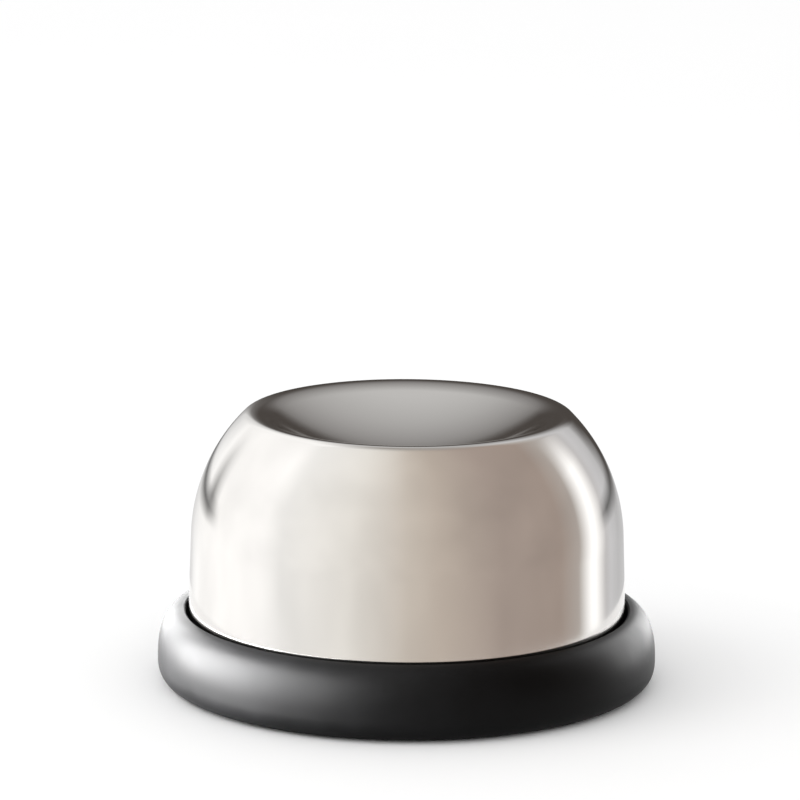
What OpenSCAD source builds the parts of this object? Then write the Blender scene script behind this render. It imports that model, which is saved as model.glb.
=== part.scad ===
// Press-down egg piercer: a polished bell with an egg dish slides down into a black
// base ring against a spring, so that a fixed needle comes up through the dish.
// Millimetres, +Z up, origin at the centre of the face that it stands on.

/* [Dome] */
// Overall height at rest
height = 31.2; // [28:0.1:36]
// Diameter of the dome where it enters the base ring
dome_d = 50; // [46:0.5:60]
// Draft of the dome's wall, in degrees
wall_draft = 2; // [0.5:0.5:4]
// Height at which the wall starts to turn over into the shoulder
shoulder_z = 17.2; // [14:0.1:19]
// Diameter of the crest circle, the highest line of the dome
crest_d = 35.6; // [30:0.1:40]
// Outer radius of the roll from the shoulder to the crest
crest_roll = 1.5; // [1.2:0.1:3]
// Outer radius of the roll from the crest into the dish
dish_roll = 4.5; // [2:0.1:6]
// Spherical radius of the dish
dish_r = 26.5; // [22:0.5:40]
// Thickness of the sheet
sheet_t = 0.6; // [0.4:0.05:0.9]
// Diameter of the needle hole in the dish
needle_hole_d = 3; // [2.4:0.1:4]
// Depth of the drawn collar under the needle hole
collar_depth = 1.5; // [0.8:0.1:2]
// Radius of the roll from the dish into the collar
collar_roll = 0.6; // [0.3:0.1:1]
// Number of tabs bent in under the carrier
tab_count = 6; // [3:1:12]
// Width of a tab
tab_w = 5; // [3:0.5:8]
// Reach of a tab inside the sheet
tab_reach = 1.2; // [0.8:0.1:1.5]

/* [Motion] */
// Travel of the dome
travel = 4; // [3:0.25:5]
// Clearance left at the end of the travel
end_gap = 0.4; // [0.3:0.05:0.8]
// Clearance at the upper stop
stop_gap = 0.05; // [0.02:0.01:0.2]
// Depth of the needle's tip below the dish at rest
tip_depth = 1.2; // [0.8:0.1:2]

/* [Base ring] */
// How far the ring stands out from the dome
bead_w = 3.5; // [3:0.1:6]
// Height of the ring's widest line
bead_z = 2.7; // [2:0.1:4]
// Power of the ring's upper curve (2 is an ellipse, more is squarer)
bead_upper_power = 2.5; // [2:0.1:4]
// Power of the ring's lower curve
bead_lower_power = 2.5; // [2:0.1:4]
// Width of the ring's lower curve
foot_inset = 2.9; // [1:0.1:3.4]
// Thickness of the foot under the base
foot_t = 1; // [0.8:0.1:2]
// Width of the foot inside the base's outer wall
foot_w = 3.4; // [2:0.1:3.6]
// Gap between the ring's lip and the dome
lip_gap = 0.3; // [0.2:0.05:0.6]
// Chamfer of the lip's edge
lip_chamfer = 0.3; // [0.1:0.05:0.5]
// Thickness of the lip over the base's wall
lip_t = 1.2; // [0.8:0.1:1.6]
// Depth of the dome's skirt inside the ring at rest
skirt_lap = 2; // [1.6:0.1:4]

/* [Base] */
// Thickness of the channel's floor
floor_t = 1; // [0.8:0.1:2]
// Thickness of the outer wall
outer_wall_t = 0.9; // [0.8:0.1:1.2]
// Extra room between the dome's skirt and the outer wall
wall_relief = 0.2; // [0.1:0.05:0.5]
// Reach and height of the bead that holds the ring on the wall
hold_reach = 0.4; // [0.2:0.05:0.6]
hold_h = 0.8; // [0.5:0.1:1.2]
// Thickness of the inner wall
inner_wall_t = 1.4; // [1:0.1:2]
// Thickness of the deck
deck_t = 1.8; // [1.4:0.1:3]
// Diameter of the centre post
post_d = 6.5; // [5.5:0.1:7.5]
// Gap between the post's top and the hub at full travel
post_gap = 1; // [0.4:0.1:2]
// Diameter of a cover-screw boss
boss_d = 5; // [4:0.1:6]
// Diameter of the circle of bosses
boss_circle_d = 30; // [26:0.5:32]
// Thickness of the ribs from the bosses to the wall
base_rib_t = 1; // [0.8:0.1:1.5]
// Gap from the ribs down to the cover
base_rib_gap = 1.5; // [0.5:0.1:3]

/* [Carrier] */
// Thickness of the rim
rim_t = 1.6; // [1.2:0.1:2.2]
// Gap between the rim and the base's inner wall
rim_gap = 0.4; // [0.3:0.05:0.8]
// Thickness of the deck
carrier_deck_t = 1.6; // [1.2:0.1:2.4]
// Wall of the spring hub
hub_wall = 1.3; // [1:0.1:2]
// Thickness of the hub's web above the spring
web_t = 1.6; // [1:0.1:2.4]
// Diameter of a guide post
guide_d = 4.5; // [4:0.1:5.5]
// Radial running clearance of a guide post in its bore
guide_gap = 0.05; // [0.02:0.01:0.1]
// Diameter of the circle of guide posts
guide_circle_d = 28; // [24:0.5:30]
// Number of gussets round the hub
gusset_count = 6; // [3:3:12]
// Thickness of a gusset
gusset_t = 1.2; // [0.8:0.1:2]

/* [Needle and spring] */
// Diameter of the needle
needle_d = 1.2; // [0.8:0.1:1.6]
// Length of the needle's point
needle_point = 3; // [2:0.1:4]
// Diameter of the needle's head
needle_head_d = 3.2; // [2.4:0.1:4]
// Thickness of the needle's head
needle_head_t = 0.8; // [0.5:0.1:1.2]
// Gap between the needle and the hub's web
needle_gap = 0.4; // [0.3:0.05:0.6]
// Wire of the spring
wire_d = 0.8; // [0.6:0.05:0.9]
// Mean pitch of the spring at rest
spring_pitch = 2; // [1.8:0.1:2.6]
// Radial room on both sides of the spring
spring_gap = 0.6; // [0.4:0.05:0.8]

/* [Screws and cover] */
// Outer diameter of a stop washer
washer_d = 7; // [6.6:0.1:8]
// Thickness of a stop washer
washer_t = 0.8; // [0.5:0.1:1.2]
// Diameter of the screw shanks
screw_d = 2; // [1.6:0.1:2.4]
// Length of the screw shanks
screw_l = 6; // [4:0.5:6]
// Diameter of the screw heads
head_d = 3.8; // [3.4:0.1:4.4]
// Height of the stop screws' heads
head_h = 1.3; // [1:0.1:1.6]
// Height of the cover screws' countersunk heads
sunk_h = 0.8; // [0.6:0.1:1]
// Width and depth of the cross recess in a screw head
cross_w = 0.6; // [0.4:0.05:0.8]
cross_depth = 0.6; // [0.4:0.05:0.7]
// Height of the cover's lower face above the surface
cover_recess = 0.4; // [0.2:0.05:0.6]
// Thickness of the cover at its middle
cover_t = 1.2; // [1:0.05:1.6]
// Diameter of the cover's peg that holds the needle's head
peg_d = 3; // [2:0.1:3.4]

/* [Fits] */
// Gap between pieces that are fitted together and don't move
fit_gap = 0.05; // [0.02:0.01:0.1]

/* [Hidden] */
$fn = 96;

// Angle step of the arcs in the turned profiles, in degrees
arc_step = 3;
// Count of guide posts, and of cover screws between them
post_count = 3;
post_step = 360 / post_count;

// Heights from the floor up
floor_top = foot_t + floor_t;
skirt_z = floor_top + travel + end_gap;
ring_h = skirt_z + skirt_lap;
cover_top = cover_recess + cover_t;
deck_z = cover_top + end_gap + travel + head_h + washer_t + stop_gap;
deck_top = deck_z + deck_t;
guide_end_z = deck_z - stop_gap;
carrier_deck_z = deck_top + travel + end_gap;
carrier_deck_top = carrier_deck_z + carrier_deck_t;

// Radii from the dome's wall inwards and outwards
dome_r = dome_d / 2;
ring_r = dome_r + bead_w;
lip_r = dome_r + lip_gap;
outer_wall_in = lip_r + wall_relief;
outer_wall_out = outer_wall_in + outer_wall_t;
hold_r = outer_wall_out + hold_reach;
wall_top = ring_h - lip_t;
foot_r = ring_r - foot_inset;
foot_in = outer_wall_in - foot_w;
carrier_r = dome_r - sheet_t - fit_gap;
rim_in = carrier_r - rim_t;
inner_wall_out = rim_in - rim_gap;
inner_wall_in = inner_wall_out - inner_wall_t;

// Dome profile: centres and angles of its arcs, which run into each other tangentially
crest_r = crest_d / 2;
wall_top_r = dome_r - (shoulder_z - ring_h) * tan(wall_draft);
crest_c = [crest_r, height - crest_roll];
roll_c = [crest_r, height - dish_roll];
to_crest = [wall_top_r, shoulder_z] - crest_c;
wall_normal = [cos(wall_draft), sin(wall_draft)];
shoulder_r = (to_crest * to_crest - crest_roll * crest_roll) / (2 * (to_crest * wall_normal - crest_roll));
shoulder_c = [wall_top_r, shoulder_z] - shoulder_r * wall_normal;
shoulder_end = atan2(crest_c[1] - shoulder_c[1], crest_c[0] - shoulder_c[0]);
dish_slope = asin(crest_r / (dish_roll + dish_r));
dish_c = [0, roll_c[1] + (dish_roll + dish_r) * cos(dish_slope)];
dish_z = dish_c[1] - dish_r;

// Needle hole, collar and hub
hole_r = needle_hole_d / 2;
collar_r = hole_r + sheet_t;
collar_z = dish_z - sheet_t - collar_depth;
web_z = collar_z - fit_gap - web_t;
web_hole_r = needle_d / 2 + needle_gap;
spring_r = post_d / 2 + spring_gap + wire_d / 2;
hub_in = spring_r + wire_d / 2 + spring_gap;
hub_out = hub_in + hub_wall;
post_top = web_z - travel - post_gap;
tip_z = dish_z - tip_depth;

// Spring: turns from its length and pitch, with the pitch eased at both ends
spring_length = web_z - deck_top - wire_d;
spring_turns = round(2 * spring_length / spring_pitch) / 2;
spring_ease = 0.35;
rings_per_turn = 20;
wire_sides = 8;
spring_rings = spring_turns * rings_per_turn;

// Points of an arc, without its first point when it goes on from another line
function arc(centre, radius, from, to, first = 1) =
    let (steps = max(1, ceil(abs(to - from) / arc_step)))
    [for (i = [first:steps])
        let (a = from + (to - from) * i / steps)
        centre + radius * [cos(a), sin(a)]];

// The list in the opposite order
function reversed(list) = [for (i = [len(list) - 1:-1:0]) list[i]];

// The dome's surface moved inwards by depth, from the radius start out to the skirt's end
function dome_line(depth, start) = concat(
    arc(dish_c, dish_r + depth, asin(start / (dish_r + depth)) - 90, dish_slope - 90, 0),
    arc(roll_c, dish_roll - depth, 90 + dish_slope, 90),
    arc(crest_c, crest_roll - depth, 90, shoulder_end),
    arc(shoulder_c, shoulder_r - depth, shoulder_end, wall_draft),
    [[dome_r - depth, ring_h - depth * tan(wall_draft / 2)],
     [dome_r - depth, skirt_z]]);

// Height of the dish at a radius
function dish_height(radius) = dish_c[1] - sqrt(dish_r * dish_r - radius * radius);

// Quarter of a superellipse, from its flat side to its upright side
function bead_curve(centre, half_w, half_h, power) =
    let (steps = 24)
    [for (i = [0:steps])
        let (a = 90 * (1 - i / steps))
        centre + [half_w * pow(max(0, cos(a)), 2 / power), half_h * pow(max(0, sin(a)), 2 / power)]];

// Copies round the axis at a radius, starting at an angle
module around(count, radius, start = 0) {
    for (i = [0:count - 1])
        rotate([0, 0, start + i * 360 / count])
            translate([radius, 0, 0])
                children();
}

// Disc or tube between two heights
module tube(outer, inner, low, high) {
    translate([0, 0, low])
        difference() {
            cylinder(r = outer, h = high - low);
            if (inner > 0)
                translate([0, 0, -1])
                    cylinder(r = inner, h = high - low + 2);
        }
}

// Stainless bell with its dish, needle collar and bent tabs
module dome_shell() {
    roll_at = hole_r + collar_roll;
    collar_edge = [hole_r + collar_roll, dish_height(roll_at) - collar_roll];
    outside = concat(
        [[hole_r, collar_z]],
        arc(collar_edge, collar_roll, 180, 90, 0),
        dome_line(0, roll_at + 0.1));
    inside = concat([[collar_r, collar_z]], dome_line(sheet_t, collar_r));
    tab_angle = 2 * asin(tab_w / 2 / (dome_r - sheet_t));
    color("silver") {
        rotate_extrude()
            polygon(concat(outside, reversed(inside)));
        for (i = [0:tab_count - 1])
            rotate([0, 0, i * 360 / tab_count - tab_angle / 2])
                rotate_extrude(angle = tab_angle)
                    translate([dome_r - sheet_t - tab_reach, skirt_z])
                        square([tab_reach + sheet_t / 2, sheet_t]);
    }
}

// Moulded carrier that fills the dome's rim and bears on its dish
module dome_carrier() {
    color("ivory")
        intersection() {
            rotate_extrude()
                polygon(concat(
                    [[0, skirt_z + sheet_t]],
                    [[0, dish_z - sheet_t - fit_gap]],
                    [for (p = dome_line(sheet_t + fit_gap, 0.5)) if (p[1] > skirt_z + sheet_t) p],
                    [[carrier_r, skirt_z + sheet_t]]));
            difference() {
                union() {
                    tube(dome_r, rim_in, skirt_z, carrier_deck_top);
                    tube(dome_r, 0, carrier_deck_z, carrier_deck_top);
                    tube(hub_out, 0, carrier_deck_z, height);
                    around(gusset_count, 0, post_step / 2)
                        carrier_gusset();
                    around(post_count, guide_circle_d / 2)
                        tube(guide_d / 2, 0, guide_end_z, carrier_deck_top);
                }
                tube(hub_in, 0, carrier_deck_z - 1, web_z);
                tube(web_hole_r, 0, web_z - 1, height);
                tube(collar_r + fit_gap, 0, collar_z - fit_gap, height);
                around(post_count, guide_circle_d / 2)
                    tube(screw_d / 2 + fit_gap, 0, guide_end_z - 1, guide_end_z + screw_l);
            }
        }
}

// Upright gusset from the hub down to the carrier's deck
module carrier_gusset() {
    rotate([90, 0, 0])
        translate([0, 0, -gusset_t / 2])
            linear_extrude(gusset_t)
                polygon([[hub_in + hub_wall / 2, carrier_deck_z + carrier_deck_t / 2],
                         [rim_in, carrier_deck_z + carrier_deck_t / 2],
                         [rim_in, carrier_deck_top],
                         [hub_in + hub_wall / 2, web_z]]);
}

// Washers under the guide posts
module stop_washers() {
    color("gainsboro")
        around(post_count, guide_circle_d / 2)
            tube(washer_d / 2, screw_d / 2 + fit_gap, guide_end_z - washer_t, guide_end_z);
}

// Cross recess cut up into a screw head from its lower face
module cross_recess(low) {
    for (a = [0, 90])
        rotate([0, 0, a])
            translate([-head_d * 0.35, -cross_w / 2, low - 1])
                cube([head_d * 0.7, cross_w, cross_depth + 1]);
}

// Pan-head screws up into the guide posts
module stop_screws() {
    head_top = guide_end_z - washer_t;
    shank_top = head_top + washer_t + screw_l - 2 * fit_gap;
    edge = head_h / 2;
    color("lightsteelblue")
        around(post_count, guide_circle_d / 2)
            difference() {
                rotate_extrude()
                    polygon(concat(
                        [[0, head_top - head_h]],
                        arc([head_d / 2 - edge, head_top - head_h + edge], edge, -90, 0, 0),
                        [[head_d / 2, head_top],
                         [screw_d / 2, head_top],
                         [screw_d / 2, shank_top - screw_d / 2],
                         [screw_d / 8, shank_top],
                         [0, shank_top]]));
                cross_recess(head_top - head_h);
            }
}

// Moulded base with the skirt's channel, deck, centre post and screw bosses
module base_body() {
    color([0.09, 0.09, 0.1])
        difference() {
            union() {
                rotate_extrude()
                    polygon([[inner_wall_in, foot_t],
                             [outer_wall_out, foot_t],
                             [outer_wall_out, wall_top - hold_h],
                             [hold_r, wall_top - hold_h],
                             [hold_r, wall_top],
                             [outer_wall_in, wall_top],
                             [outer_wall_in, floor_top],
                             [inner_wall_out, floor_top],
                             [inner_wall_out, deck_top],
                             [0, deck_top],
                             [0, deck_z],
                             [inner_wall_in, deck_z]]);
                tube(post_d / 2, 0, deck_z + deck_t / 2, post_top);
                around(post_count, boss_circle_d / 2, post_step / 2)
                    tube(boss_d / 2, 0, cover_top, deck_z + deck_t / 2);
                around(post_count, 0, post_step / 2)
                    translate([boss_circle_d / 2, -base_rib_t / 2, cover_top + base_rib_gap])
                        cube([inner_wall_in + inner_wall_t / 2 - boss_circle_d / 2, base_rib_t,
                              deck_z + deck_t / 2 - cover_top - base_rib_gap]);
            }
            around(post_count, guide_circle_d / 2)
                tube(guide_d / 2 + guide_gap, 0, deck_z - 1, deck_top + 1);
            around(post_count, boss_circle_d / 2, post_step / 2)
                tube(screw_d / 2 + fit_gap, 0, cover_top - 1, cover_top - sunk_h + screw_l);
            tube(needle_d / 2 + fit_gap, 0, deck_z - 1, post_top + 1);
            tube(needle_head_d / 2 + fit_gap, 0, deck_z - 1, deck_z + needle_head_t);
        }
}

// Rubber ring stretched over the base's wall, with a lip above and a foot below
module base_ring() {
    upper_c = [dome_r, bead_z];
    upper = [for (p = bead_curve(upper_c, bead_w, ring_h - bead_z, bead_upper_power))
        if (p[0] > lip_r + lip_chamfer + fit_gap) p];
    lower = [for (p = bead_curve([0, 0], foot_inset, bead_z, bead_lower_power))
        [foot_r + p[0], bead_z - p[1]]];
    color([0.06, 0.06, 0.065])
        rotate_extrude()
            polygon(concat(
                [[lip_r, wall_top],
                 [lip_r, ring_h - lip_chamfer],
                 [lip_r + lip_chamfer, ring_h]],
                upper,
                [for (i = [len(lower) - 2:-1:0]) lower[i]],
                [[foot_in, 0],
                 [foot_in, foot_t],
                 [outer_wall_out + fit_gap, foot_t],
                 [outer_wall_out + fit_gap, wall_top - hold_h],
                 [hold_r + fit_gap, wall_top - hold_h],
                 [hold_r + fit_gap, wall_top]]));
}

// Steel needle with a flat head seated in the deck
module needle() {
    head_top = deck_z + needle_head_t;
    color("slategray")
        rotate_extrude()
            polygon([[0, deck_z],
                     [needle_head_d / 2, deck_z],
                     [needle_head_d / 2, head_top],
                     [needle_d / 2, head_top],
                     [needle_d / 2, tip_z - needle_point],
                     [needle_d / 16, tip_z],
                     [0, tip_z]]);
}

// Centre line of the spring's wire: place along it from 0 to 1
function spring_rise(s) = spring_length * (s - spring_ease * sin(360 * s) / 360 * 180 / PI);
function spring_point(s) =
    [spring_r * cos(360 * spring_turns * s),
     spring_r * sin(360 * spring_turns * s),
     deck_top + wire_d / 2 + spring_rise(s)];

// Ring of the wire's skin at a place along it
function wire_ring(s) =
    let (a = 360 * spring_turns * s)
    let (rise = spring_length * (1 - spring_ease * cos(360 * s)) / (2 * PI * spring_turns * spring_r))
    let (out = [cos(a), sin(a), 0])
    let (along = [-sin(a), cos(a), rise] / norm([1, rise]))
    let (up = cross(out, along))
    [for (k = [0:wire_sides - 1])
        let (b = 360 * k / wire_sides)
        spring_point(s) + wire_d / 2 * (cos(b) * out + sin(b) * up)];

// Least gap of the spring to itself, measured between points a turn or so apart
spring_line = [for (i = [0:spring_rings]) spring_point(i / spring_rings)];
spring_self_gap = min([for (i = [0:spring_rings]) for (j = [i + rings_per_turn / 2:spring_rings])
    norm(spring_line[i] - spring_line[j])]) - wire_d;
echo(spring_turns = spring_turns, spring_self_gap = spring_self_gap);

// Compression spring from the base's deck up to the carrier's hub
module return_spring() {
    skin = [for (i = [0:spring_rings]) for (p = wire_ring(i / spring_rings)) p];
    sides = [for (i = [0:spring_rings - 1]) for (k = [0:wire_sides - 1])
        let (n = (k + 1) % wire_sides)
        let (row = i * wire_sides)
        each [[row + k, row + n, row + wire_sides + k],
              [row + n, row + wire_sides + n, row + wire_sides + k]]];
    start_cap = [for (k = [wire_sides - 2:-1:1]) [0, k + 1, k]];
    last = spring_rings * wire_sides;
    end_cap = [for (k = [1:wire_sides - 2]) [last, last + k, last + k + 1]];
    color("dimgray")
        polyhedron(skin, concat(sides, start_cap, end_cap));
}

// Cover with a peg up to the needle's head
module bottom_cover() {
    color([0.12, 0.12, 0.13])
        difference() {
            union() {
                tube(foot_in - fit_gap, 0, cover_recess, foot_t);
                tube(inner_wall_in - fit_gap, 0, cover_recess, cover_top);
                tube(peg_d / 2, 0, cover_recess, deck_z);
            }
            around(post_count, boss_circle_d / 2, post_step / 2) {
                tube(screw_d / 2 + fit_gap, 0, cover_recess - 1, cover_top + 1);
                translate([0, 0, cover_recess - fit_gap])
                    cylinder(r1 = head_d / 2 + fit_gap, r2 = screw_d / 2 + fit_gap, h = sunk_h + fit_gap);
            }
        }
}

// Countersunk screws up into the bosses
module cover_screws() {
    shank_top = cover_top - sunk_h + screw_l - fit_gap;
    color("lightslategray")
        around(post_count, boss_circle_d / 2, post_step / 2)
            difference() {
                rotate_extrude()
                    polygon([[0, cover_recess],
                             [head_d / 2, cover_recess],
                             [screw_d / 2, cover_recess + sunk_h],
                             [screw_d / 2, shank_top - screw_d / 2],
                             [screw_d / 8, shank_top],
                             [0, shank_top]]);
                cross_recess(cover_recess);
            }
}

dome_shell();
dome_carrier();
stop_washers();
stop_screws();
base_body();
base_ring();
needle();
return_spring();
bottom_cover();
cover_screws();
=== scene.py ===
from math import asin, atan2, cos, degrees, pi, radians, sin, tan

import bmesh
import bpy
from mathutils import Matrix, Vector


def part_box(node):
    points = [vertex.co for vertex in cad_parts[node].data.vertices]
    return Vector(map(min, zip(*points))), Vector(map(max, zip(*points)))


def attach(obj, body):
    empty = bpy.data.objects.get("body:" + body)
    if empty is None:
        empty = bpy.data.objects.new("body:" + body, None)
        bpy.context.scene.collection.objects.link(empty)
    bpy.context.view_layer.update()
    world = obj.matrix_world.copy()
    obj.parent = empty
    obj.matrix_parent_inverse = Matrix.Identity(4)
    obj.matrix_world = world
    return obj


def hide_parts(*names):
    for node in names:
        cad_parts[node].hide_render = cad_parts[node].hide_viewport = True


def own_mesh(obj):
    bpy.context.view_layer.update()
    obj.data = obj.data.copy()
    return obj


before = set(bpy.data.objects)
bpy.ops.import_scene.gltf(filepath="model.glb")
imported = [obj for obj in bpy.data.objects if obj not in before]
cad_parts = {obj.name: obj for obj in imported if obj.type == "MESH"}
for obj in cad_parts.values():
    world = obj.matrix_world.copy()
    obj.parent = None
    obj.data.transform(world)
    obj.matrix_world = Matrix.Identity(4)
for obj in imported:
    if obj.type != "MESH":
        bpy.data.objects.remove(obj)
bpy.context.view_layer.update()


# Base body
# Black moulded plastic: the channel that the dome's skirt sinks into, a deck with guide bores,
# the centre post for the needle and the bosses for the cover. It hides under the ring and dome.
mm = 0.001
noise_span = (0.3, 0.7)


def new_material(name):
    material = bpy.data.materials.new(name)
    material.use_nodes = True
    nodes = material.node_tree.nodes
    shader = nodes["Principled BSDF"]
    coordinates = nodes.new("ShaderNodeTexCoord")
    return material, nodes, material.node_tree.links, shader, coordinates.outputs["Object"]


def noise(nodes, links, vector, scale, detail=3.0, roughness=0.5):
    texture = nodes.new("ShaderNodeTexNoise")
    texture.inputs["Scale"].default_value = scale
    texture.inputs["Detail"].default_value = detail
    texture.inputs["Roughness"].default_value = roughness
    links.new(vector, texture.inputs["Vector"])
    return texture.outputs["Fac"]


def spread(nodes, links, value, low_in, high_in, low_out=0.0, high_out=1.0):
    ranged = nodes.new("ShaderNodeMapRange")
    ranged.inputs["From Min"].default_value = low_in
    ranged.inputs["From Max"].default_value = high_in
    ranged.inputs["To Min"].default_value = low_out
    ranged.inputs["To Max"].default_value = high_out
    links.new(value, ranged.inputs["Value"])
    return ranged.outputs["Result"]


def bump(nodes, links, height, strength, distance):
    node = nodes.new("ShaderNodeBump")
    node.inputs["Strength"].default_value = strength
    node.inputs["Distance"].default_value = distance
    links.new(height, node.inputs["Height"])
    return node.outputs["Normal"]


def two_tone(nodes, links, factor, first, second):
    mix = nodes.new("ShaderNodeMix")
    mix.data_type = "RGBA"
    mix.inputs["A"].default_value = (*first, 1.0)
    mix.inputs["B"].default_value = (*second, 1.0)
    links.new(factor, mix.inputs["Factor"])
    return mix.outputs["Result"]


def moulded_plastic(name, dark, light, grain_size):
    patch_scale = 180.0
    satin, dull = 0.42, 0.56
    grain_strength = 0.12
    grain_depth = 0.04 * mm
    material, nodes, links, shader, place = new_material(name)
    patches = noise(nodes, links, place, patch_scale, detail=4.0)
    grain = noise(nodes, links, place, 1.0 / grain_size, detail=2.0)
    links.new(two_tone(nodes, links, patches, dark, light), shader.inputs["Base Color"])
    links.new(spread(nodes, links, patches, *noise_span, satin, dull), shader.inputs["Roughness"])
    links.new(bump(nodes, links, grain, grain_strength, grain_depth), shader.inputs["Normal"])
    return material


def dress(node, material):
    node.data.materials.clear()
    node.data.materials.append(material)


base_black = (0.014, 0.014, 0.015)
base_grey = (0.026, 0.026, 0.028)
base_plastic = moulded_plastic("black_moulded_plastic", base_black, base_grey, grain_size=0.3 * mm)
dress(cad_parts["base_body"], base_plastic)


# Needle
# Hardened steel pin with a ground point and a flat head. It is pushed up through the centre post
# from below until its head seats in the deck.
def arc_points(centre, radius, start, stop, step):
    count = max(2, round(abs(stop - start) / step))
    angles = [radians(start + (stop - start) * i / count) for i in range(count + 1)]
    return [(centre[0] + radius * cos(a), centre[1] + radius * sin(a)) for a in angles]


def link_piece(name, mesh):
    piece = bpy.data.objects.new(name, mesh)
    bpy.context.scene.collection.objects.link(piece)
    return piece


def math_node(tree, operation, first, second=0.0):
    node = tree.nodes.new("ShaderNodeMath")
    node.operation = operation
    for socket, value in zip(node.inputs, (first, second)):
        if isinstance(value, bpy.types.NodeSocket):
            tree.links.new(value, socket)
        else:
            socket.default_value = value
    return node.outputs[0]


def new_tree(name, inputs):
    tree = bpy.data.node_groups.new(name, "GeometryNodeTree")
    tree.interface.new_socket("Geometry", in_out="INPUT", socket_type="NodeSocketGeometry")
    tree.interface.new_socket("Geometry", in_out="OUTPUT", socket_type="NodeSocketGeometry")
    keys = {}
    for label, kind in inputs.items():
        socket = tree.interface.new_socket(label, in_out="INPUT", socket_type="NodeSocket" + kind)
        keys[label] = socket.identifier
    return tree, keys, tree.nodes.new("NodeGroupInput"), tree.nodes.new("NodeGroupOutput")


def end_tree(tree, start, end, geometry):
    realize = tree.nodes.new("GeometryNodeRealizeInstances")
    paint = tree.nodes.new("GeometryNodeSetMaterial")
    tree.links.new(geometry, realize.inputs["Geometry"])
    tree.links.new(realize.outputs["Geometry"], paint.inputs["Geometry"])
    tree.links.new(start.outputs["Material"], paint.inputs["Material"])
    tree.links.new(paint.outputs["Geometry"], end.inputs["Geometry"])


def turning_tree():
    weld_gap = 1e-7
    inputs = {"Segments": "Int", "Sharp Angle": "Float", "Material": "Material"}
    tree, keys, start, end = new_tree("turned_from_profile", inputs)
    nodes, links = tree.nodes, tree.links
    size = nodes.new("GeometryNodeAttributeDomainSize")
    links.new(start.outputs["Geometry"], size.inputs["Geometry"])
    columns = math_node(tree, "ADD", start.outputs["Segments"], 1.0)
    grid = nodes.new("GeometryNodeMeshGrid")
    links.new(size.outputs["Point Count"], grid.inputs["Vertices X"])
    links.new(columns, grid.inputs["Vertices Y"])
    index = nodes.new("GeometryNodeInputIndex").outputs["Index"]
    past_index = math_node(tree, "ADD", index, 0.5)
    row = math_node(tree, "FLOOR", math_node(tree, "DIVIDE", past_index, columns))
    column = math_node(tree, "SUBTRACT", index, math_node(tree, "MULTIPLY", row, columns))
    one_turn = math_node(tree, "DIVIDE", 2 * pi, start.outputs["Segments"])
    turn = math_node(tree, "MULTIPLY", column, one_turn)
    sample = nodes.new("GeometryNodeSampleIndex")
    sample.data_type = "FLOAT_VECTOR"
    links.new(start.outputs["Geometry"], sample.inputs["Geometry"])
    links.new(nodes.new("GeometryNodeInputPosition").outputs["Position"], sample.inputs["Value"])
    links.new(row, sample.inputs["Index"])
    spin = nodes.new("ShaderNodeVectorRotate")
    spin.rotation_type = "Z_AXIS"
    links.new(sample.outputs["Value"], spin.inputs["Vector"])
    links.new(turn, spin.inputs["Angle"])
    place = nodes.new("GeometryNodeSetPosition")
    links.new(grid.outputs["Mesh"], place.inputs["Geometry"])
    links.new(spin.outputs["Vector"], place.inputs["Position"])
    weld = nodes.new("GeometryNodeMergeByDistance")
    weld.inputs["Distance"].default_value = weld_gap
    links.new(place.outputs["Geometry"], weld.inputs["Geometry"])
    smooth = nodes.new("GeometryNodeSetShadeSmooth")
    links.new(weld.outputs["Geometry"], smooth.inputs["Geometry"])
    angle = nodes.new("GeometryNodeInputMeshEdgeAngle").outputs["Unsigned Angle"]
    sharp = math_node(tree, "GREATER_THAN", angle, start.outputs["Sharp Angle"])
    crease = nodes.new("GeometryNodeSetShadeSmooth")
    crease.domain = "EDGE"
    crease.inputs["Shade Smooth"].default_value = False
    links.new(sharp, crease.inputs["Selection"])
    links.new(smooth.outputs["Geometry"], crease.inputs["Geometry"])
    end_tree(tree, start, end, crease.outputs["Geometry"])
    return tree, keys


def finished_mesh(name, mesh, tree, keys, values):
    rough = link_piece(name + "_rough", mesh)
    modifier = rough.modifiers.new("shape", "NODES")
    modifier.node_group = tree
    for label, value in values.items():
        modifier[keys[label]] = value
    evaluated = rough.evaluated_get(bpy.context.evaluated_depsgraph_get())
    result = bpy.data.meshes.new_from_object(evaluated)
    rough.modifiers.remove(modifier)
    bpy.data.objects.remove(rough)
    result.name = name
    shell = bmesh.new()
    shell.from_mesh(result)
    bmesh.ops.recalc_face_normals(shell, faces=shell.faces)
    shell.to_mesh(result)
    shell.free()
    return result


turning, turning_keys = turning_tree()
sharp_angle = radians(35)


def turned_mesh(name, profile, segments, material):
    points = [(x, 0.0, z) for x, z in profile]
    line = bpy.data.meshes.new(name + "_profile")
    line.from_pydata(points, [(i, i + 1) for i in range(len(points) - 1)], [])
    values = {"Segments": segments, "Sharp Angle": sharp_angle, "Material": material}
    return finished_mesh(name, line, turning, turning_keys, values)


def ground_steel(name, colour, bright, dull, line_scale):
    line_stretch = (1.0, 1.0, 12.0)
    line_strength = 0.08
    line_depth = 0.02 * mm
    material, nodes, links, shader, place = new_material(name)
    shader.inputs["Metallic"].default_value = 1.0
    shader.inputs["Base Color"].default_value = (*colour, 1.0)
    stretch = nodes.new("ShaderNodeMapping")
    stretch.inputs["Scale"].default_value = line_stretch
    links.new(place, stretch.inputs["Vector"])
    lines = noise(nodes, links, stretch.outputs["Vector"], line_scale, detail=4.0, roughness=0.65)
    links.new(spread(nodes, links, lines, *noise_span, bright, dull), shader.inputs["Roughness"])
    links.new(bump(nodes, links, lines, line_strength, line_depth), shader.inputs["Normal"])
    return material


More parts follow.
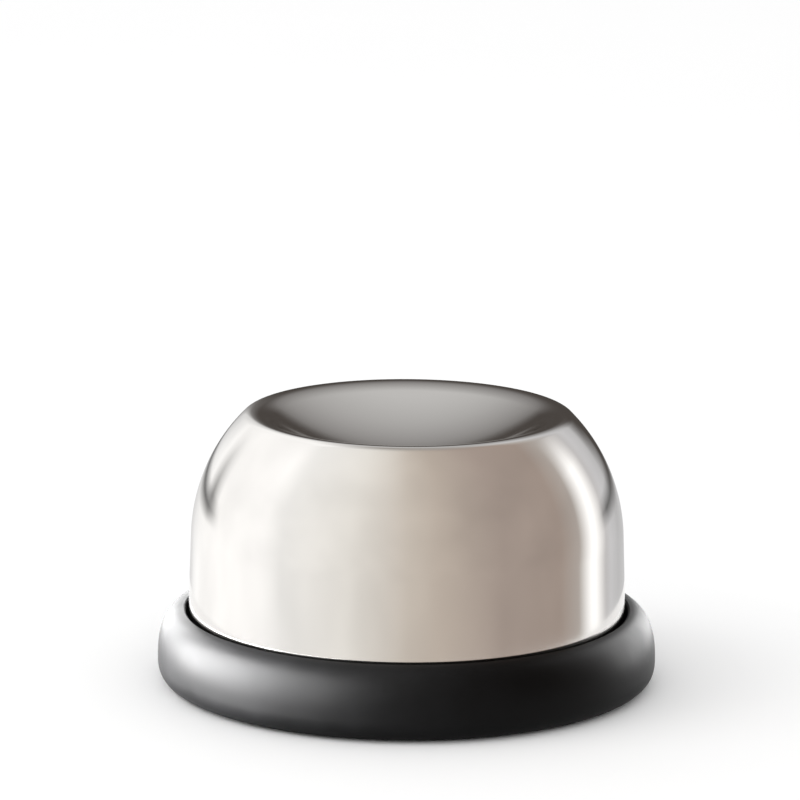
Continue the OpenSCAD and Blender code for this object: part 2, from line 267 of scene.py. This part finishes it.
needle_low, needle_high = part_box("needle")
needle_sides = 48
needle_d = 1.2 * mm
needle_head_t = 0.8 * mm
needle_point = 3.0 * mm
needle_tip_r = needle_d / 16
head_edge = 0.1 * mm
edge_step = 15
head_r = needle_high.x
head_top = needle_low.z + needle_head_t
needle_profile = (
    [(0.0, needle_low.z)]
    + arc_points((head_r - head_edge, needle_low.z + head_edge), head_edge, -90, 0, edge_step)
    + arc_points((head_r - head_edge, head_top - head_edge), head_edge, 0, 90, edge_step)
    + [(needle_d / 2, head_top), (needle_d / 2, needle_high.z - needle_point)]
    + [(needle_tip_r, needle_high.z - needle_tip_r), (0.0, needle_high.z)]
)
needle_grey = (0.66, 0.66, 0.67)
needle_steel = ground_steel("ground_needle_steel", needle_grey, bright=0.16, dull=0.3, line_scale=900.0)
needle_mesh = turned_mesh("steel_needle", needle_profile, needle_sides, needle_steel)
needle = link_piece("steel_needle", needle_mesh)
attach(needle, "base")
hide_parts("needle")


# Return spring
# Spring wire wound round the centre post, closer at both ends. It stands on the base's deck and
# pushes the carrier's hub up.
def spring_tree():
    inputs = dict.fromkeys(("Turns", "Radius", "Low", "Length", "Ease", "Wire Radius"), "Float")
    inputs.update({"Points": "Int", "Sides": "Int", "Material": "Material"})
    tree, keys, start, end = new_tree("wound_spring", inputs)
    nodes, links = tree.nodes, tree.links
    line = nodes.new("GeometryNodeCurvePrimitiveLine")
    points = nodes.new("GeometryNodeResampleCurve")
    links.new(start.outputs["Points"], points.inputs["Count"])
    links.new(line.outputs["Curve"], points.inputs["Curve"])
    along = nodes.new("GeometryNodeSplineParameter").outputs["Factor"]
    full = math_node(tree, "MULTIPLY", along, 2 * pi)
    turn = math_node(tree, "MULTIPLY", full, start.outputs["Turns"])
    eased = math_node(tree, "MULTIPLY", math_node(tree, "SINE", full), start.outputs["Ease"])
    rise = math_node(tree, "SUBTRACT", along, math_node(tree, "DIVIDE", eased, 2 * pi))
    climb = math_node(tree, "MULTIPLY", rise, start.outputs["Length"])
    where = nodes.new("ShaderNodeCombineXYZ")
    for axis, wave in (("X", "COSINE"), ("Y", "SINE")):
        across = math_node(tree, "MULTIPLY", math_node(tree, wave, turn), start.outputs["Radius"])
        links.new(across, where.inputs[axis])
    links.new(math_node(tree, "ADD", climb, start.outputs["Low"]), where.inputs["Z"])
    place = nodes.new("GeometryNodeSetPosition")
    links.new(points.outputs["Curve"], place.inputs["Geometry"])
    links.new(where.outputs["Vector"], place.inputs["Position"])
    section = nodes.new("GeometryNodeCurvePrimitiveCircle")
    links.new(start.outputs["Sides"], section.inputs["Resolution"])
    links.new(start.outputs["Wire Radius"], section.inputs["Radius"])
    skin = nodes.new("GeometryNodeCurveToMesh")
    skin.inputs["Fill Caps"].default_value = True
    links.new(place.outputs["Geometry"], skin.inputs["Curve"])
    links.new(section.outputs["Curve"], skin.inputs["Profile Curve"])
    smooth = nodes.new("GeometryNodeSetShadeSmooth")
    links.new(skin.outputs["Mesh"], smooth.inputs["Geometry"])
    end_tree(tree, start, end, smooth.outputs["Geometry"])
    return tree, keys


wire_d = 0.8 * mm
spring_low, spring_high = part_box("return_spring")
spring_length = spring_high.z - spring_low.z
wire_grey = (0.5, 0.5, 0.51)
spring_steel = ground_steel("drawn_spring_wire", wire_grey, bright=0.2, dull=0.36, line_scale=1400.0)
winding, winding_keys = spring_tree()
spring_sizes = {
    "Turns": 5.5,
    "Radius": 4.25 * mm,
    "Low": spring_low.z + wire_d / 2,
    "Length": spring_length - wire_d,
    "Ease": 0.35,
    "Wire Radius": wire_d / 2,
    "Points": 300,
    "Sides": 14,
    "Material": spring_steel,
}
wire_start = bpy.data.meshes.new("wire_start")
spring_mesh = finished_mesh("coil_spring", wire_start, winding, winding_keys, spring_sizes)
spring = link_piece("coil_spring", spring_mesh)
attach(spring, "base")
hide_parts("return_spring")
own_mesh(spring)


# Bottom cover
# Black moulded disc that closes the base from below. It is the same plastic as the base, and
# its peg keeps the needle's head in its seat.
dress(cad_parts["bottom_cover"], base_plastic)


# Cover screws
# Three small countersunk steel screws that hold the cover to the base's bosses. Their heads lie
# flush with the cover's lower face.
def pattern_tree():
    inputs = {"Count": "Int", "Circle Radius": "Float", "First Angle": "Float", "Material": "Material"}
    tree, keys, start, end = new_tree("set_on_circle", inputs)
    nodes, links = tree.nodes, tree.links
    circle = nodes.new("GeometryNodeMeshCircle")
    links.new(start.outputs["Count"], circle.inputs["Vertices"])
    links.new(start.outputs["Circle Radius"], circle.inputs["Radius"])
    copies = nodes.new("GeometryNodeInstanceOnPoints")
    links.new(circle.outputs["Mesh"], copies.inputs["Points"])
    links.new(start.outputs["Geometry"], copies.inputs["Instance"])
    index = nodes.new("GeometryNodeInputIndex").outputs["Index"]
    one_turn = math_node(tree, "DIVIDE", 2 * pi, start.outputs["Count"])
    facing = nodes.new("ShaderNodeCombineXYZ")
    links.new(math_node(tree, "MULTIPLY", index, one_turn), facing.inputs["Z"])
    face_out = nodes.new("FunctionNodeEulerToRotation")
    links.new(facing.outputs["Vector"], face_out.inputs["Euler"])
    links.new(face_out.outputs["Rotation"], copies.inputs["Rotation"])
    angles = nodes.new("ShaderNodeCombineXYZ")
    links.new(start.outputs["First Angle"], angles.inputs["Z"])
    turned = nodes.new("GeometryNodeTransform")
    links.new(copies.outputs["Instances"], turned.inputs["Geometry"])
    links.new(angles.outputs["Vector"], turned.inputs["Rotation"])
    end_tree(tree, start, end, turned.outputs["Geometry"])
    return tree, keys


pattern, pattern_keys = pattern_tree()


def circle_set(name, mesh, count, circle_r, first_angle, material):
    values = {"Count": count, "Circle Radius": circle_r, "First Angle": first_angle, "Material": material}
    return finished_mesh(name, mesh, pattern, pattern_keys, values)


def raise_faces(form, height):
    raised = bmesh.ops.extrude_face_region(form, geom=form.faces[:])["geom"]
    for vert in (part for part in raised if isinstance(part, bmesh.types.BMVert)):
        vert.co.z += height
    bmesh.ops.recalc_face_normals(form, faces=form.faces)


def cross_cut(mesh, head_z, depth, width, length):
    arm, half = length / 2, width / 2
    outline = [Matrix.Rotation(quarter * pi / 2, 2) @ Vector(corner)
               for quarter in range(4) for corner in ((arm, -half), (arm, half), (half, half))]
    cutter = bmesh.new()
    cutter.faces.new([cutter.verts.new((*corner, head_z - depth)) for corner in outline])
    raise_faces(cutter, 2 * depth)
    cross = bpy.data.meshes.new("cross")
    cutter.to_mesh(cross)
    cutter.free()
    head = link_piece("head", mesh)
    tool = link_piece("cross", cross)
    cut = head.modifiers.new("recess", "BOOLEAN")
    cut.object = tool
    evaluated = head.evaluated_get(bpy.context.evaluated_depsgraph_get())
    result = bpy.data.meshes.new_from_object(evaluated)
    bpy.data.objects.remove(head)
    bpy.data.objects.remove(tool)
    return result


def thread_points(low, high, crest_r, depth, pitch):
    count = int((high - low) / pitch)
    return [(crest_r - depth * (k % 2), low + pitch * k / 2) for k in range(2 * count + 1)]


screw_grey = (0.62, 0.62, 0.63)
plain_steel = ground_steel("plated_screw_steel", screw_grey, bright=0.22, dull=0.38, line_scale=1200.0)
screw_count = 3
screw_r = 1.0 * mm
screw_tip_r = screw_r / 4
# With 42 sides no edge of the head runs into a corner of the cross.
screw_sides = 42
thread_depth = 0.2 * mm
thread_pitch = 0.6 * mm
cross_w = 0.6 * mm
cross_depth = 0.6 * mm
cross_reach = 1.4
cover_low, cover_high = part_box("cover_screws")
boss_circle_r = 15.0 * mm
boss_angle = pi / 3
sunk_head_r = 1.9 * mm
sunk_h = 0.8 * mm
sunk_top = cover_low.z + sunk_h
cover_screw_profile = (
    [(0.0, cover_low.z), (sunk_head_r, cover_low.z), (screw_r, sunk_top)]
    + thread_points(sunk_top + thread_pitch, cover_high.z - screw_r, screw_r, thread_depth, thread_pitch)
    + [(screw_tip_r, cover_high.z), (0.0, cover_high.z)]
)
cover_screw = turned_mesh("cover_screw", cover_screw_profile, screw_sides, plain_steel)
cover_screw = cross_cut(cover_screw, cover_low.z, cross_depth, cross_w, cross_reach * sunk_head_r)
cover_set = circle_set("cover_screw_set", cover_screw, screw_count, boss_circle_r, boss_angle, plain_steel)
cover_screws = link_piece("cover_screw_set", cover_set)
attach(cover_screws, "base")
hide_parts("cover_screws")


# Base ring
# Black rubber ring stretched over the base's wall: a broad round bead that stands out from the
# dome, a lip that follows the dome closely and a flat foot on the worktop.
patch_span = (0.35, 0.75)


def bead_curve(centre, half_w, half_h, power, count=40):
    angles = [pi / 2 * (1 - i / count) for i in range(count + 1)]
    return [(centre[0] + half_w * max(0.0, cos(a)) ** (2 / power),
             centre[1] + half_h * max(0.0, sin(a)) ** (2 / power)) for a in angles]


def ring_rubber(name):
    clean_black = (0.0015, 0.0015, 0.0016)
    worn_black = (0.003, 0.003, 0.0033)
    bright, dull = 0.45, 0.55
    patch_scale = 140.0
    grain_scale = 5200.0
    grain_strength = 0.1
    grain_depth = 0.03 * mm
    material, nodes, links, shader, place = new_material(name)
    shader.inputs["Specular IOR Level"].default_value = 0.1
    patches = noise(nodes, links, place, patch_scale, detail=5.0, roughness=0.6)
    grain = noise(nodes, links, place, grain_scale, detail=2.0)
    wear = spread(nodes, links, patches, *patch_span)
    links.new(two_tone(nodes, links, wear, clean_black, worn_black), shader.inputs["Base Color"])
    links.new(spread(nodes, links, patches, *noise_span, bright, dull), shader.inputs["Roughness"])
    links.new(bump(nodes, links, grain, grain_strength, grain_depth), shader.inputs["Normal"])
    return material


ring_low, ring_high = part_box("base_ring")
ring_sides = 256
dome_r = 25.0 * mm
bead_w = ring_high.x - dome_r
bead_z = 2.7 * mm
bead_power = 2.5
foot_inset = 2.9 * mm
foot_t = 1.0 * mm
lip_gap = 0.3 * mm
lip_r = dome_r + lip_gap
lip_edge = 0.3 * mm
lip_end = 100
lip_step = 10
ring_cap = 1.2 * mm
wall_top = ring_high.z - ring_cap
ring_fit = 0.05 * mm
wall_out = 26.4 * mm + ring_fit
hold_out = 0.4 * mm
hold_r = wall_out + hold_out
hold_h = 0.8 * mm
foot_in = 22.1 * mm
upper = [p for p in bead_curve((dome_r, bead_z), bead_w, ring_high.z - bead_z, bead_power)
         if p[0] > lip_r + lip_edge]
lower = [(ring_high.x - foot_inset + x, bead_z - z)
         for x, z in bead_curve((0.0, 0.0), foot_inset, bead_z, bead_power)]
ring_profile = (
    [(lip_r, wall_top)]
    + arc_points((lip_r + lip_edge, ring_high.z - lip_edge), lip_edge, 180, lip_end, lip_step)
    + upper
    + lower[-2::-1]
    + [(foot_in, ring_low.z), (foot_in, foot_t), (wall_out, foot_t)]
    + [(wall_out, wall_top - hold_h), (hold_r, wall_top - hold_h)]
    + [(hold_r, wall_top), (lip_r, wall_top)]
)
rubber = ring_rubber("black_ring_rubber")
ring = link_piece("rubber_ring", turned_mesh("rubber_ring", ring_profile, ring_sides, rubber))
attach(ring, "base")
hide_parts("base_ring")


# Dome carrier
# Natural moulded acetal inside the dome: a rim that fills the skirt, a deck with three guide
# posts and a hub that holds the spring and bears on the dish.
acetal_cream = (0.74, 0.72, 0.66)
acetal_white = (0.82, 0.8, 0.74)
carrier_plastic = moulded_plastic("natural_acetal", acetal_cream, acetal_white, grain_size=0.4 * mm)
dress(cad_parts["dome_carrier"], carrier_plastic)


# Stop washers
# Three steel washers under the guide posts. They meet the deck from below and so stop the dome
# at the top of its travel.
washer_low, washer_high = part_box("stop_washers")
washer_sides = 48
guide_circle_r = 14.0 * mm
guide_angle = 0.0
washer_r = 3.5 * mm
washer_gap = 0.05 * mm
washer_hole_r = screw_r + washer_gap
washer_edge = 0.15 * mm
washer_profile = (
    [(washer_hole_r, washer_low.z)]
    + arc_points((washer_r - washer_edge, washer_low.z + washer_edge), washer_edge, -90, 0, edge_step)
    + arc_points((washer_r - washer_edge, washer_high.z - washer_edge), washer_edge, 0, 90, edge_step)
    + [(washer_hole_r, washer_high.z), (washer_hole_r, washer_low.z)]
)
washer = turned_mesh("stop_washer", washer_profile, washer_sides, plain_steel)
washer_set = circle_set("stop_washer_set", washer, screw_count, guide_circle_r, guide_angle, plain_steel)
washers = link_piece("stop_washer_set", washer_set)
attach(washers, "dome")
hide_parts("stop_washers")


# Stop screws
# Three pan-head screws driven up into the guide posts through the washers, after the posts have
# been put through the base's deck.
stop_low, stop_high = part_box("stop_screws")
pan_r = 1.9 * mm
pan_top = washer_low.z
pan_edge = (pan_top - stop_low.z) / 2
pan_step = 10
thread_low = washer_high.z + thread_pitch
stop_screw_profile = (
    [(0.0, stop_low.z)]
    + arc_points((pan_r - pan_edge, stop_low.z + pan_edge), pan_edge, -90, 0, pan_step)
    + [(pan_r, pan_top), (screw_r, pan_top), (screw_r, washer_high.z)]
    + thread_points(thread_low, stop_high.z - screw_r, screw_r, thread_depth, thread_pitch)
    + [(screw_tip_r, stop_high.z), (0.0, stop_high.z)]
)
stop_screw = turned_mesh("stop_screw", stop_screw_profile, screw_sides, plain_steel)
stop_screw = cross_cut(stop_screw, stop_low.z, cross_depth, cross_w, cross_reach * pan_r)
stop_set = circle_set("stop_screw_set", stop_screw, screw_count, guide_circle_r, guide_angle, plain_steel)
stop_screws = link_piece("stop_screw_set", stop_set)
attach(stop_screws, "dome")
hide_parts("stop_screws")


# Dome shell
# Stainless sheet drawn into a bell, with a round dish pressed into its top and a collar drawn
# down round the needle hole, then polished bright. Six tabs at its foot are bent in under the carrier.
def polished_steel(name):
    steel_tone = (0.82, 0.8, 0.775)
    clear, hazy = 0.06, 0.13
    haze_scale = 60.0
    line_scale = 3500.0
    line_strength = 0.015
    line_depth = 0.01 * mm
    material, nodes, links, shader, place = new_material(name)
    shader.inputs["Metallic"].default_value = 1.0
    shader.inputs["Base Color"].default_value = (*steel_tone, 1.0)
    split = nodes.new("ShaderNodeSeparateXYZ")
    links.new(place, split.inputs["Vector"])
    flat = nodes.new("ShaderNodeCombineXYZ")
    links.new(split.outputs["X"], flat.inputs["X"])
    links.new(split.outputs["Y"], flat.inputs["Y"])
    out = nodes.new("ShaderNodeVectorMath")
    out.operation = "LENGTH"
    links.new(flat.outputs["Vector"], out.inputs[0])
    rings = nodes.new("ShaderNodeCombineXYZ")
    links.new(out.outputs["Value"], rings.inputs["X"])
    links.new(split.outputs["Z"], rings.inputs["Y"])
    lines = noise(nodes, links, rings.outputs["Vector"], line_scale, detail=3.0, roughness=0.7)
    haze = noise(nodes, links, place, haze_scale, detail=5.0, roughness=0.55)
    links.new(spread(nodes, links, haze, *patch_span, clear, hazy), shader.inputs["Roughness"])
    links.new(bump(nodes, links, lines, line_strength, line_depth), shader.inputs["Normal"])
    return material


dome_low, dome_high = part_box("dome_shell")
height = dome_high.z
ring_line = ring_high.z
dome_sides = 288
outer_step = 0.75
inner_step = 3.0
draft = 2.0
shoulder_z = 17.2 * mm
crest_r = 17.8 * mm
crest_roll = 1.5 * mm
dish_roll = 4.5 * mm
dish_r = 26.5 * mm
sheet_t = 0.6 * mm
hole_r = 1.5 * mm
collar_depth = 1.5 * mm
collar_roll = 0.6 * mm
collar_end = 95
collar_step = 8
wall_top_r = dome_r - (shoulder_z - ring_line) * tan(radians(draft))
crest_centre = Vector((crest_r, height - crest_roll))
roll_centre = Vector((crest_r, height - dish_roll))
wall_end = Vector((wall_top_r, shoulder_z))
wall_normal = Vector((cos(radians(draft)), sin(radians(draft))))
to_crest = wall_end - crest_centre
shoulder_r = (to_crest.length_squared - crest_roll ** 2) / (2 * (to_crest.dot(wall_normal) - crest_roll))
shoulder_centre = wall_end - shoulder_r * wall_normal
up = crest_centre - shoulder_centre
shoulder_end = degrees(atan2(up.y, up.x))
dish_slope = degrees(asin(crest_r / (dish_roll + dish_r)))
dish_centre = Vector((0.0, roll_centre.y + (dish_roll + dish_r) * cos(radians(dish_slope))))
dish_z = dish_centre.y - dish_r
dish_start = hole_r + 1.2 * collar_roll
collar_z = dish_z - sheet_t - collar_depth
collar_r = hole_r + collar_roll
collar_centre = (collar_r, dish_centre.y - (dish_r ** 2 - collar_r ** 2) ** 0.5 - collar_roll)


def dome_line(depth, start, step):
    rim_z = ring_line - depth * tan(radians(draft / 2))
    first = degrees(asin(start / (dish_r + depth))) - 90
    return (
        arc_points(dish_centre, dish_r + depth, first, dish_slope - 90, step)
        + arc_points(roll_centre, dish_roll - depth, 90 + dish_slope, 90, step)[1:]
        + arc_points(crest_centre, crest_roll - depth, 90, shoulder_end, 2 * step)[1:]
        + arc_points(shoulder_centre, shoulder_r - depth, shoulder_end, draft, step)[1:]
        + [(dome_r - depth, rim_z), (dome_r - depth, dome_low.z)]
    )


dome_profile = (
    [(hole_r, collar_z)]
    + arc_points(collar_centre, collar_roll, 180, collar_end, collar_step)
    + dome_line(0.0, dish_start, outer_step)
    + dome_line(sheet_t, hole_r + sheet_t, inner_step)[::-1]
    + [(hole_r + sheet_t, collar_z), (hole_r, collar_z)]
)
steel = polished_steel("polished_stainless")
dome_mesh = turned_mesh("polished_dome", dome_profile, dome_sides, steel)

tab_count = 6
tab_w = 5.0 * mm
tab_reach = 1.2 * mm
tab_in = dome_r - sheet_t - tab_reach
tab_out = dome_r - sheet_t / 2
tab_turn = asin(tab_w / 2 / (dome_r - sheet_t))
tab_steps = 8
tab_form = bmesh.new()
bmesh.ops.create_grid(tab_form, x_segments=tab_steps, y_segments=1, size=1.0)
for vert in tab_form.verts:
    tab_r = tab_out if vert.co.y > 0 else tab_in
    vert.co = (tab_r * cos(vert.co.x * tab_turn), tab_r * sin(vert.co.x * tab_turn), dome_low.z)
raise_faces(tab_form, sheet_t)
tab_mesh = bpy.data.meshes.new("bent_tab")
tab_form.to_mesh(tab_mesh)
tab_form.free()
tabs = circle_set("bent_tabs", tab_mesh, tab_count, circle_r=0.0, first_angle=0.0, material=steel)
joined = bmesh.new()
joined.from_mesh(dome_mesh)
joined.from_mesh(tabs)
joined.to_mesh(dome_mesh)
joined.free()
dome = link_piece("polished_dome", dome_mesh)
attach(dome, "dome")
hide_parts("dome_shell")


# Worktop
# Plain white painted top that the tool stands on. It lies at the height of the ring's foot and is
# wide enough to fill every view.
top_half = 3.0
top_white = (0.965, 0.965, 0.965)
top_shade = (0.95, 0.95, 0.95)
top_patch_scale = 9.0
top_corners = [(-top_half, -top_half, 0), (top_half, -top_half, 0),
               (top_half, top_half, 0), (-top_half, top_half, 0)]
top_mesh = bpy.data.meshes.new("worktop")
top_mesh.from_pydata(top_corners, [], [(0, 1, 2, 3)])
worktop = link_piece("worktop", top_mesh)
white_top, nodes, links, shader, place = new_material("white_worktop")
top_patches = noise(nodes, links, place, top_patch_scale)
links.new(two_tone(nodes, links, top_patches, top_shade, top_white), shader.inputs["Base Color"])
shader.inputs["Roughness"].default_value = 0.9
shader.inputs["Specular IOR Level"].default_value = 0.2
top_mesh.materials.append(white_top)


# Light tent
# Glowing half-sphere round the tool, its glow painted as a cloth tent on a grey frame: bright on the left,
# warm grey in front, with a bright strip on the right and dark cloth behind. The tones are painted light
# that the steel shows as reflections; the tent shows only in reflections and casts no shadow.
tent_r = 56 * mm
tent_columns = 96
tent_rows = 48
fold_scale = 45.0
fold_dark, fold_light = 0.93, 1.07
# The tones below are painted into the tent's glow, by bearing round the tool.
# Bearings are degrees from the front, positive to the right. Rises are degrees up from the worktop.
painted_glow_tones = (
    (-180, (0.75, 0.75, 0.75)),
    (-140, (0.78, 0.78, 0.78)),
    (-122, (1.15, 1.15, 1.15)),
    (-64, (1.17, 1.17, 1.17)),
    (-54, (0.98, 0.98, 0.97)),
    (-24, (0.92, 0.9, 0.86)),
    (-10, (0.78, 0.74, 0.69)),
    (0, (0.66, 0.6, 0.54)),
    (13, (0.57, 0.5, 0.44)),
    (26, (0.5, 0.43, 0.38)),
    (40, (0.43, 0.36, 0.32)),
    (70, (0.4, 0.33, 0.29)),
    (84, (0.5, 0.46, 0.43)),
    (112, (0.68, 0.68, 0.7)),
    (125, (0.56, 0.56, 0.57)),
    (180, (0.75, 0.75, 0.75)),
)
ceiling_rise = (70, 84)
ceiling_grey = (0.42, 0.4, 0.38)
# Where a band has a third number, its edges fade over that many degrees to either side.
# The frame is no object: its rails and post are dark bands painted into the glow.
rail_bearing = (97, 112)
rail_rise = (19.5, 24.5, 2.5)
painted_rail_grey = (0.16, 0.16, 0.16)
post_bearing = (-115, -106, 5)
post_foot = (18, 25)
post_fade = (48, 26)
painted_post_grey = (0.26, 0.26, 0.26)
back_turn = 10
back_bearing = (132, 149)
back_low_rise = (19, 48, 4)
back_low_dark = (0.075, 0.066, 0.06)
back_high_foot = (30, 36)
back_high_fade = (76, 46)
back_high_dark = (0.11, 0.1, 0.095)
strip_bearing = (87, 101, 5)
strip_rise = (-10, 49, 7)
strip_white = (1.3, 1.3, 1.3)


def band(tree, value, low, high, soft):
    rising = spread(tree.nodes, tree.links, value, low - soft, low + soft)
    falling = spread(tree.nodes, tree.links, value, high + soft, high - soft)
    return math_node(tree, "MULTIPLY", rising, falling)


def layer(tree, below, factor, colour):
    mix = tree.nodes.new("ShaderNodeMix")
    mix.data_type = "RGBA"
    mix.inputs["B"].default_value = (*colour, 1.0)
    tree.links.new(factor, mix.inputs["Factor"])
    tree.links.new(below, mix.inputs["A"])
    return mix.outputs["Result"]


def painted_tent_glow(name):
    material = bpy.data.materials.new(name)
    material.use_nodes = True
    tree = material.node_tree
    nodes, links = tree.nodes, tree.links
    nodes.remove(nodes["Principled BSDF"])
    glow = nodes.new("ShaderNodeEmission")
    links.new(glow.outputs["Emission"], nodes["Material Output"].inputs["Surface"])
    place = nodes.new("ShaderNodeTexCoord").outputs["Object"]
    parts = nodes.new("ShaderNodeSeparateXYZ")
    links.new(place, parts.inputs["Vector"])
    toward_front = math_node(tree, "MULTIPLY", parts.outputs["Y"], -1.0)
    bearing = math_node(tree, "ARCTAN2", parts.outputs["X"], toward_front)
    bearing = math_node(tree, "MULTIPLY", bearing, degrees(1))
    rise = math_node(tree, "ARCSINE", math_node(tree, "DIVIDE", parts.outputs["Z"], tent_r))
    rise = math_node(tree, "MULTIPLY", rise, degrees(1))

    cloth = nodes.new("ShaderNodeValToRGB")
    stops = cloth.color_ramp.elements
    stops[0].color = (*painted_glow_tones[0][1], 1.0)
    stops[1].color = (*painted_glow_tones[-1][1], 1.0)
    for angle, tone in painted_glow_tones[1:-1]:
        stops.new((angle + 180) / 360).color = (*tone, 1.0)
    links.new(spread(nodes, links, bearing, -180, 180), cloth.inputs["Fac"])
    folds = noise(nodes, links, place, fold_scale, detail=2.0)
    folded = nodes.new("ShaderNodeVectorMath")
    folded.operation = "SCALE"
    links.new(cloth.outputs["Color"], folded.inputs[0])
    links.new(spread(nodes, links, folds, *noise_span, fold_dark, fold_light), folded.inputs["Scale"])

    ceiling = spread(nodes, links, rise, *ceiling_rise)
    painted = layer(tree, folded.outputs["Vector"], ceiling, ceiling_grey)
    # Dark bands of the painted frame: rails on both sides and a post on the left.
    off_front = math_node(tree, "ABSOLUTE", bearing)
    rail = spread(nodes, links, off_front, *rail_bearing)
    rail = math_node(tree, "MULTIPLY", rail, band(tree, rise, *rail_rise))
    painted = layer(tree, painted, rail, painted_rail_grey)
    post = band(tree, bearing, *post_bearing)
    post = math_node(tree, "MULTIPLY", post, spread(nodes, links, rise, *post_fade))
    post = math_node(tree, "MULTIPLY", post, spread(nodes, links, rise, *post_foot))
    painted = layer(tree, painted, post, painted_post_grey)
    off_back = math_node(tree, "ABSOLUTE", math_node(tree, "ADD", bearing, back_turn))
    behind = spread(nodes, links, off_back, *back_bearing)
    back_high = math_node(tree, "MULTIPLY", behind, spread(nodes, links, rise, *back_high_fade))
    back_high = math_node(tree, "MULTIPLY", back_high, spread(nodes, links, rise, *back_high_foot))
    painted = layer(tree, painted, back_high, back_high_dark)
    back_low = math_node(tree, "MULTIPLY", behind, band(tree, rise, *back_low_rise))
    painted = layer(tree, painted, back_low, back_low_dark)
    strip = band(tree, bearing, *strip_bearing)
    strip = math_node(tree, "MULTIPLY", strip, band(tree, rise, *strip_rise))
    painted = layer(tree, painted, strip, strip_white)
    links.new(painted, glow.inputs["Color"])
    return material


tent_form = bmesh.new()
bmesh.ops.create_uvsphere(tent_form, u_segments=tent_columns, v_segments=tent_rows, radius=tent_r)
whole_sphere = tent_form.verts[:] + tent_form.edges[:] + tent_form.faces[:]
bmesh.ops.bisect_plane(tent_form, geom=whole_sphere, plane_co=(0, 0, 0), plane_no=(0, 0, 1),
                       clear_inner=True)
tent_mesh = bpy.data.meshes.new("light_tent")
tent_form.to_mesh(tent_mesh)
tent_form.free()
tent_mesh.materials.append(painted_tent_glow("painted_tent_glow"))
tent = link_piece("light_tent", tent_mesh)
tent.visible_camera = False
tent.visible_diffuse = False
tent.visible_shadow = False
tent.visible_transmission = False


# Room light
# Even white room light, with one soft box on the left for a gentle shadow. Small panels beside the
# black ring give it a soft sheen, bright on its left and faint on its right, and light nothing else.
world = bpy.data.worlds.new("room")
bpy.context.scene.world = world
world.use_nodes = True
room = world.node_tree.nodes["Background"]
room.inputs["Color"].default_value = (1.0, 1.0, 1.0, 1.0)
room.inputs["Strength"].default_value = 1.0


def soft_box(name, place, aim, size, power):
    lamp = bpy.data.lights.new(name, "AREA")
    lamp.shape = "RECTANGLE"
    lamp.size, lamp.size_y = size
    lamp.energy = power
    box = link_piece(name, lamp)
    box.location = place
    box.rotation_euler = (Vector(aim) - Vector(place)).to_track_quat("-Z", "Y").to_euler()
    box.visible_camera = False
    return box


left_place = (-0.5, -0.1, 0.5)
left_aim = (0.0, 0.0, 0.01)
left_size = (0.4, 0.4)
left_power = 0.8
soft_box("left_box", left_place, left_aim, left_size, left_power)
ring_only = bpy.data.collections.new("ring_only")
ring_only.objects.link(ring)
panel_r = 48 * mm
panel_aim = (0.0, 0.0, 12 * mm)
panel_size = (40 * mm, 32 * mm)
# Each panel's bearing, height and power.
ring_panels = (
    (-140, 24 * mm, 0.036),
    (-110, 19 * mm, 0.052),
    (-74, 17 * mm, 0.24),
    (-46, 17 * mm, 0.08),
    (114, 18 * mm, 0.036),
)
for angle, panel_z, power in ring_panels:
    panel_place = (panel_r * sin(radians(angle)), -panel_r * cos(radians(angle)), panel_z)
    panel = soft_box("ring_panel", panel_place, panel_aim, panel_size, power)
    panel.light_linking.receiver_collection = ring_only


# Camera
# Long lens in front of the tool and a little above it, looking slightly down and rolled by less
# than half a degree, with a small shift that puts the tool where it stands in the picture.
camera_place = (0.0, -0.6, 0.16364)
camera_down = 0.215
camera_roll = 0.0071
camera_data = bpy.data.cameras.new("camera")
camera_data.sensor_width = 36.0
camera_data.lens = 243.3
camera_data.shift_x = -0.0103
camera = link_piece("camera", camera_data)
camera.matrix_world = (
    Matrix.Translation(camera_place)
    @ Matrix.Rotation(pi / 2 - camera_down, 4, "X")
    @ Matrix.Rotation(camera_roll, 4, "Z")
)
bpy.context.scene.camera = camera
bpy.context.scene.view_settings.view_transform = "Standard"
